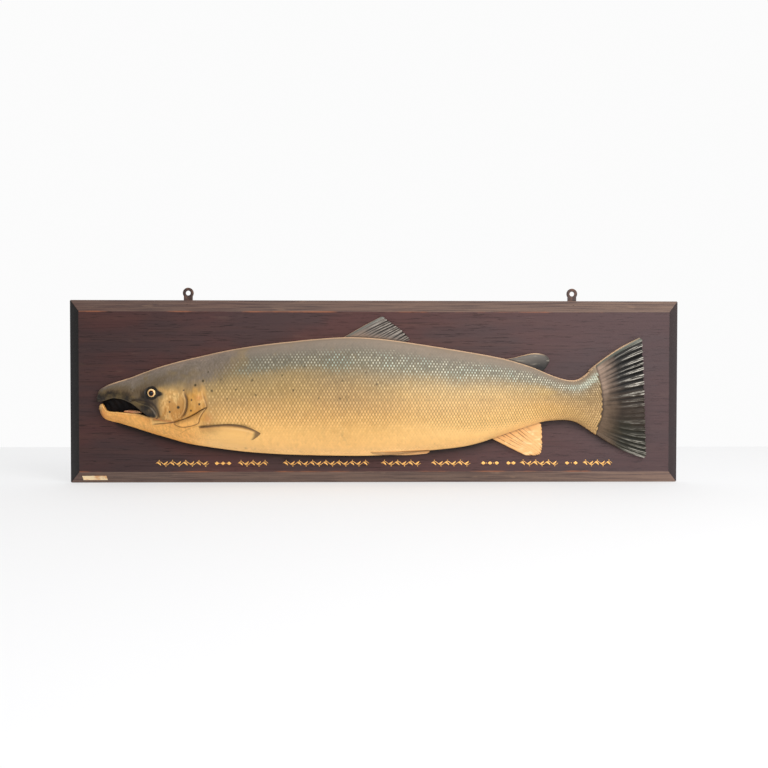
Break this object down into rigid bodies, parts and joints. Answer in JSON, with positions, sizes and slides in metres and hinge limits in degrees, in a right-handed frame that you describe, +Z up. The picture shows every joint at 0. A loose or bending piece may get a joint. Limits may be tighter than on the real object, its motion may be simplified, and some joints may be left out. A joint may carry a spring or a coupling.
{
  "type": "mounted trophy fish, carved half-block salmon on a wall board",
  "caption": "Carved and painted wooden half salmon with open hooked jaw, fixed to a long chamfered oak board that hangs on a wall by iron eye plates.",
  "frame": {"origin": "centre of the board's flat back, where it lies against the wall", "axes": "+Z up the wall, +Y into the wall, +X to the right as seen from the front, towards the tail; the fish's head points to -X"},
  "size_m": [1.25, 0.1014, 0.4],
  "materials": {
    "stained_oak": "dark red-brown stained oak, fine level grain, satin wax, worn at the bevel's edges",
    "dark_iron": "dark bronzed iron, dull",
    "gilt_brass": "warm gilding",
    "ivorine": "aged ivory-coloured sheet, bare",
    "painted_carving": "oil paint under satin varnish: olive-grey back, dotted silver-green flank, golden belly",
    "painted_mouth": "near-black paint in the open mouth",
    "painted_tongue": "orange-pink paint",
    "eye_enamel": "glossy cream eye with a dark pupil",
    "painted_dark_fin": "dark olive-grey paint over carved rays",
    "painted_pale_fin": "buff-gold paint over carved rays"
  },
  "bodies": {
    "root": {"board": "stained_oak", "hanger_left": "dark_iron", "hanger_right": "dark_iron", "hanger_screw_left_1": "dark_iron", "hanger_screw_left_2": "dark_iron", "hanger_screw_right_1": "dark_iron", "hanger_screw_right_2": "dark_iron", "fixing_screw_1": "dark_iron", "fixing_screw_2": "dark_iron", "fixing_screw_3": "dark_iron", "fixing_screw_4": "dark_iron", "label_plate": "ivorine", "label_pin_left": "gilt_brass", "label_pin_right": "gilt_brass", "head": "painted_carving", "maxilla": "painted_carving", "cheek": "painted_carving", "gill_cover": "painted_carving", "gill_membrane": "painted_carving", "throat": "painted_carving", "lower_jaw": "painted_carving", "trunk_front": "painted_carving", "trunk_middle": "painted_carving", "trunk_rear": "painted_carving", "tail_wrist": "painted_carving", "mouth_lining": "painted_mouth", "tongue": "painted_tongue", "eye": "eye_enamel", "dorsal_fin": "painted_dark_fin", "adipose_fin": "painted_dark_fin", "anal_fin": "painted_pale_fin", "pelvic_fin": "painted_pale_fin", "pectoral_fin": "painted_pale_fin", "caudal_fin": "painted_dark_fin"}
  },
  "joints": []
}
